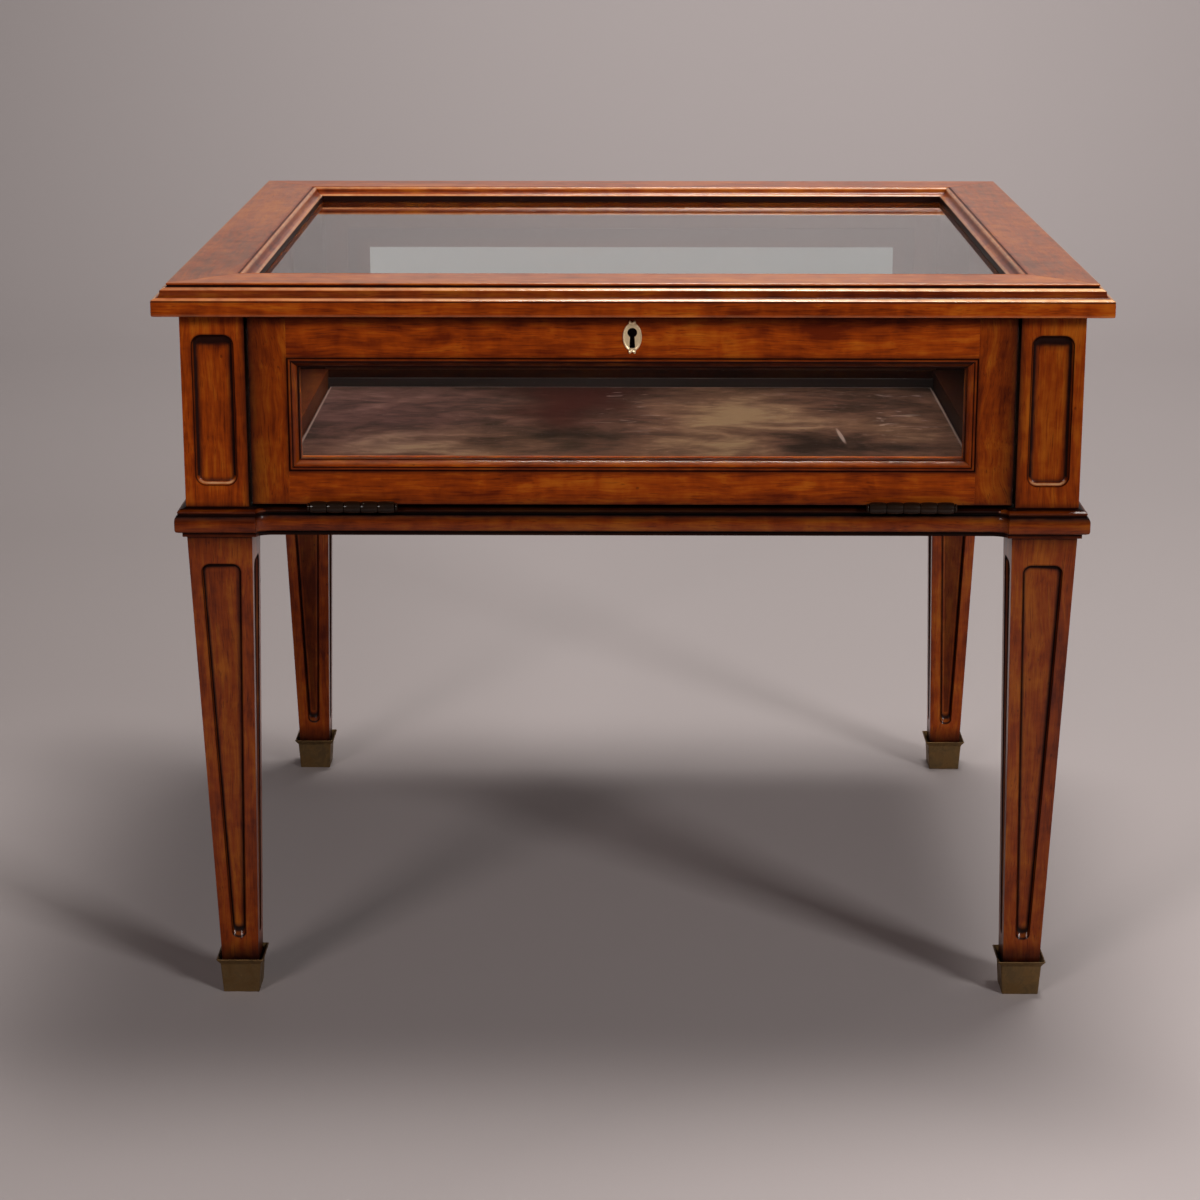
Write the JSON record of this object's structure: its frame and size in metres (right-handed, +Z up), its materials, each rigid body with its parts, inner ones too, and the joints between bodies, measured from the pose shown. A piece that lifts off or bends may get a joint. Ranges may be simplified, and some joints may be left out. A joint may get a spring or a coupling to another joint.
{
  "type": "collectors display table",
  "caption": "Glazed display case on square tapering legs, with a fixed glass top over a velvet board and a glazed front door that drops forward.",
  "frame": {"origin": "on the floor, under the middle of the table top", "axes": "+X to the right when facing the door, +Y from the door to the back, +Z up"},
  "size_m": [0.711, 0.66, 0.5715],
  "materials": {
    "wood": "reddish brown mahogany under clear lacquer",
    "inner_wood": "dark reddish stain, satin",
    "dark_wood": "near black stain, matte",
    "glass": "clear flat pane",
    "velvet": "taupe brown velvet with a brushed pile",
    "board": "plain board under the velvet",
    "aged_brass": "dull dark brass",
    "pale_brass": "pale worn brass",
    "bronze": "dark oiled bronze",
    "steel": "plain satin steel"
  },
  "bodies": {
    "case": {"top_rail_front": "wood", "top_rail_back": "wood", "top_rail_left": "wood", "top_rail_right": "wood", "top_glass": "glass", "top_bead_front": "wood", "top_bead_back": "wood", "top_bead_left": "wood", "top_bead_right": "wood", "strike_plate": "pale_brass", "door_stop": "inner_wood", "post_front_left": "wood", "post_front_right": "wood", "post_back_left": "wood", "post_back_right": "wood", "back_frame": "wood", "back_panel": "wood", "side_left_frame": "wood", "side_left_panel": "wood", "side_right_frame": "wood", "side_right_panel": "wood", "waist_rail_front": "wood", "waist_rail_back": "wood", "waist_rail_left": "wood", "waist_rail_right": "wood", "bottom_board": "inner_wood", "display_board": "board", "velvet_cover": "velvet", "board_stop": "dark_wood", "leg_front_left": "wood", "leg_front_right": "wood", "leg_back_left": "wood", "leg_back_right": "wood", "sabot_front_left": "aged_brass", "sabot_front_right": "aged_brass", "sabot_back_left": "aged_brass", "sabot_back_right": "aged_brass", "hinge_frame_leaf_left": "bronze", "hinge_frame_leaf_right": "bronze", "hinge_pin_left": "bronze", "hinge_pin_right": "bronze"},
    "door": {"door_stile_left": "wood", "door_stile_right": "wood", "door_rail_top": "wood", "door_rail_bottom": "wood", "door_moulding_top": "wood", "door_moulding_bottom": "wood", "door_moulding_left": "wood", "door_moulding_right": "wood", "door_glass": "glass", "door_bead_top": "wood", "door_bead_bottom": "wood", "door_bead_left": "wood", "door_bead_right": "wood", "escutcheon": "pale_brass", "lock_case": "steel", "hinge_door_leaf_left": "bronze", "hinge_door_leaf_right": "bronze"},
    "lock_bolt": {"lock_bolt": "pale_brass"}
  },
  "joints": [
    {"name": "door_drop", "type": "hinge", "parent": "case", "child": "door", "pos_m": [0, -0.317, 0.401], "axis": [1, 0, 0], "range_deg": [0, 180]},
    {"name": "bolt_slide", "type": "slide", "parent": "door", "child": "lock_bolt", "axis": [0, 0, 1], "range_m": [0, 0.007]}
  ]
}
